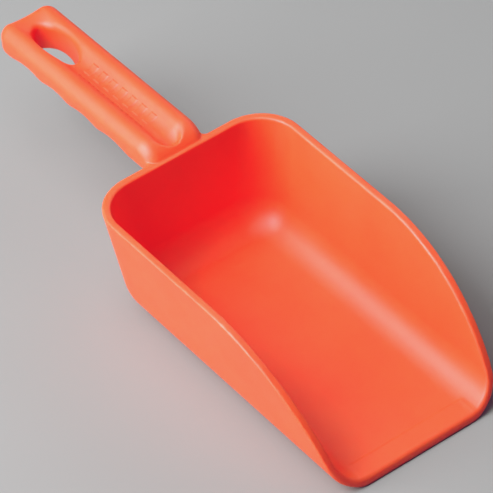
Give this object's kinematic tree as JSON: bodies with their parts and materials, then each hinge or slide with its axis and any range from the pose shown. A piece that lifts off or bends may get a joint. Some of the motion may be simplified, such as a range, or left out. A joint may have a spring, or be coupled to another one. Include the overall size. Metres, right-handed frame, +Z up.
{
  "type": "hand scoop",
  "caption": "One-piece plastic hand scoop with a deep open-fronted bowl, swept side rims, a straight lip and a grooved bar handle with a hanging hole.",
  "frame": {"origin": "below the middle of the whole scoop, at the level of the bowl's flat bottom", "axes": "+X from the handle towards the lip, +Y towards the scoop's left side, +Z up out of the bowl"},
  "size_m": [0.3362, 0.1202, 0.0745],
  "materials": {
    "moulded_plastic": "satin"
  },
  "bodies": {
    "root": {"bowl": "moulded_plastic", "handle": "moulded_plastic"}
  },
  "joints": []
}
